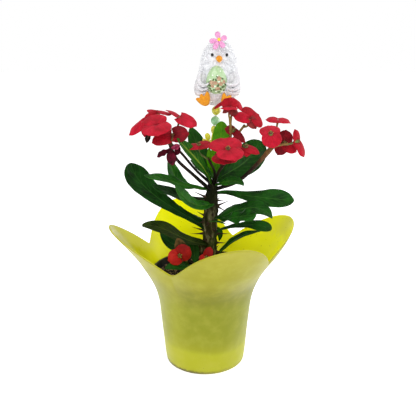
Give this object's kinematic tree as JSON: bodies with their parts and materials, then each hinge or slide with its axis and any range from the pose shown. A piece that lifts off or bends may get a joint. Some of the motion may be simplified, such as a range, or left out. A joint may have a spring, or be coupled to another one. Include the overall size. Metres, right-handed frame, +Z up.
{
  "type": "potted crown of thorns plant",
  "caption": "Thorny succulent with dark leaves and clustered red bracts, in a nursery pot inside a petal-edged yellow-green pot cover, with a small chick pick.",
  "frame": {"origin": "centre of the pot cover's flat base, on the surface it stands on", "axes": "+Z straight up; +X to the right and +Y to the back as the plant is seen from its front, where the low pair of flowers hangs over the cover's front notch"},
  "size_m": [0.1849, 0.1738, 0.3192],
  "materials": {
    "cover_plastic": "satin yellow-green plastic, slightly translucent",
    "pot_plastic": "thin black grower-pot plastic",
    "potting_soil": "dark damp peat mix with a few tan specks",
    "bark": "grey-brown ribbed bark with grey spines",
    "flower_stalk": "thin brown-green stalks with green cups",
    "leaf": "dark green leaf with a paler midrib",
    "bract": "red petal-like bract",
    "pick_stick": "pale thin stick",
    "pearly_bead": "pearly green bead",
    "yellow_trim": "yellow bead and ribbon",
    "chick_fluff": "white fluff",
    "egg": "pale green egg with small blossoms",
    "orange_felt": "orange felt",
    "pink_felt": "pink felt"
  },
  "bodies": {
    "root": {"pot_cover": "cover_plastic", "nursery_pot": "pot_plastic", "trunk": "bark", "stalk_left": "flower_stalk", "stalk_top": "flower_stalk", "stalk_front": "flower_stalk", "stalk_right": "flower_stalk", "low_shoot": "flower_stalk", "pick_stick": "pick_stick", "bead_yellow": "yellow_trim", "bead_green": "pearly_bead", "ribbon_bow": "yellow_trim", "chick_body": "chick_fluff", "chick_egg": "egg", "chick_beak": "orange_felt", "chick_foot_left": "orange_felt", "chick_foot_right": "orange_felt", "chick_flower": "pink_felt", "flower_left_front": "bract", "flower_left_back": "bract", "flower_left_right": "bract", "flower_left_far": "bract", "flower_left_low": "bract", "flower_top": "bract", "flower_top_back": "bract", "flower_top_right": "bract", "flower_top_low": "bract", "flower_front": "bract", "flower_front_right": "bract", "flower_front_left": "bract", "flower_front_under": "bract", "flower_right_front": "bract", "flower_right_top": "bract", "flower_right_far": "bract", "flower_right_under": "bract", "flower_low_left": "bract", "flower_low_right": "bract", "leaf_left_long": "leaf", "leaf_left_mid": "leaf", "leaf_left_front": "leaf", "leaf_left_upper": "leaf", "leaf_left_back": "leaf", "leaf_up_left": "leaf", "leaf_up_left_front": "leaf", "leaf_up_center": "leaf", "leaf_up_right": "leaf", "leaf_right_small": "leaf", "leaf_right_long": "leaf", "leaf_right_mid": "leaf", "leaf_right_crinkled": "leaf", "leaf_right_arched": "leaf", "leaf_right_low": "leaf", "leaf_left_low": "leaf", "leaf_left_low_back": "leaf", "leaf_shoot_right": "leaf", "leaf_shoot_front": "leaf", "leaf_back_left": "leaf", "leaf_back_right": "leaf", "leaves_young": "leaf", "soil": "potting_soil"}
  },
  "joints": []
}
